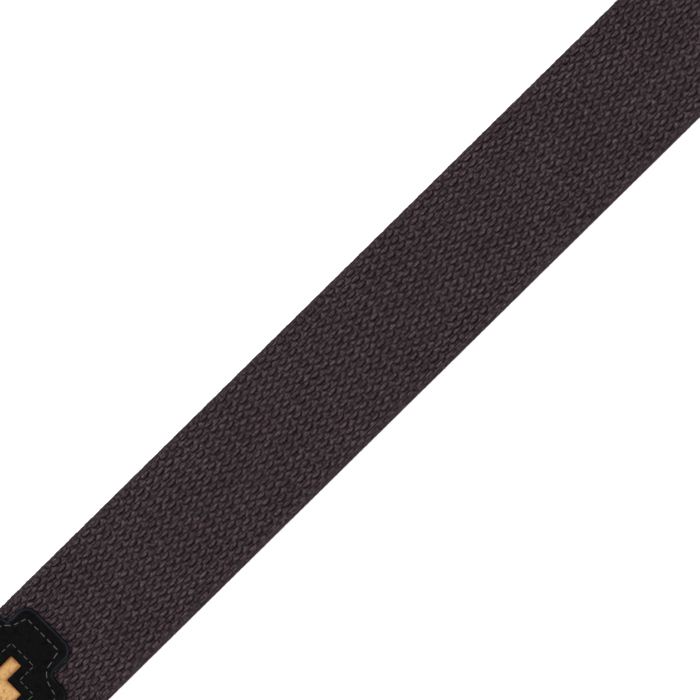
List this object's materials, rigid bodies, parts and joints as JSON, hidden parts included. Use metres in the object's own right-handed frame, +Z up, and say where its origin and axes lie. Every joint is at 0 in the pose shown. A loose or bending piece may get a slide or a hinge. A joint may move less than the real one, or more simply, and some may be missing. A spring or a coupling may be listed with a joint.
{
  "type": "guitar strap",
  "caption": "Folded wide cotton guitar strap with leather button tabs, a stitched stepped leather patch, and a wire slider and ring that set its length.",
  "frame": {"origin": "on the surface the strap lies on, under the middle of the folded strap's bounding box", "axes": "+X along the strap towards its fold, +Y across the webbing, +Z up from the surface it lies on"},
  "size_m": [0.825, 0.062, 0.0116],
  "materials": {
    "cotton_webbing": "heavy warp-faced cotton weave, matt",
    "black_leather": "smooth satin with burnished edges",
    "tan_leather": "pebbled matt",
    "thread": "twisted thread, light grey",
    "nickel_steel": "polished nickel on steel wire"
  },
  "bodies": {
    "lower_strap": {"lower_webbing": "cotton_webbing", "fold_webbing": "cotton_webbing"},
    "upper_strap": {"upper_webbing": "cotton_webbing", "front_tab_top": "black_leather", "front_tab_bottom": "black_leather", "front_tab_stitching": "thread", "patch_base": "black_leather", "patch_inlay": "tan_leather", "patch_outer_stitching": "thread", "patch_inner_stitching": "thread"},
    "slider": {"tri_glide": "nickel_steel", "slider_webbing": "cotton_webbing", "slider_wrap_webbing": "cotton_webbing", "slider_stitching": "thread", "loop_top_webbing": "cotton_webbing", "return_leg_webbing": "cotton_webbing"},
    "loop_end": {"loop_bend_webbing": "cotton_webbing"},
    "ring": {"ring": "nickel_steel"},
    "tail": {"tail_webbing": "cotton_webbing", "tail_stitching": "thread", "rear_tab_top": "black_leather", "rear_tab_bottom": "black_leather", "rear_tab_stitching": "thread"}
  },
  "joints": [
    {"name": "strap_fold", "type": "hinge", "parent": "lower_strap", "child": "upper_strap", "pos_m": [0.41147, 0, 0.00295], "axis": [0, 1, 0], "range_deg": [0, 178.8], "deforming": ["fold_webbing"]},
    {"name": "length_adjust", "type": "slide", "parent": "lower_strap", "child": "slider", "axis": [-1, 0, 0], "range_m": [0, 0.09], "deforming": ["loop_top_webbing", "return_leg_webbing"]},
    {"name": "ring_follow", "type": "slide", "parent": "slider", "child": "loop_end", "axis": [1, 0, 0], "range_m": [0, 0.045]},
    {"name": "ring_pivot", "type": "hinge", "parent": "loop_end", "child": "ring", "pos_m": [-0.26348, 0, 0.00415], "axis": [0, 1, 0], "range_deg": [0, 60]},
    {"name": "tail_pivot", "type": "hinge", "parent": "ring", "child": "tail", "pos_m": [-0.27947, 0, 0.00415], "axis": [0, 1, 0], "range_deg": [0, 90]}
  ],
  "couplings": [
    {"joint": "ring_follow", "follows": "length_adjust", "ratio": 0.5}
  ]
}
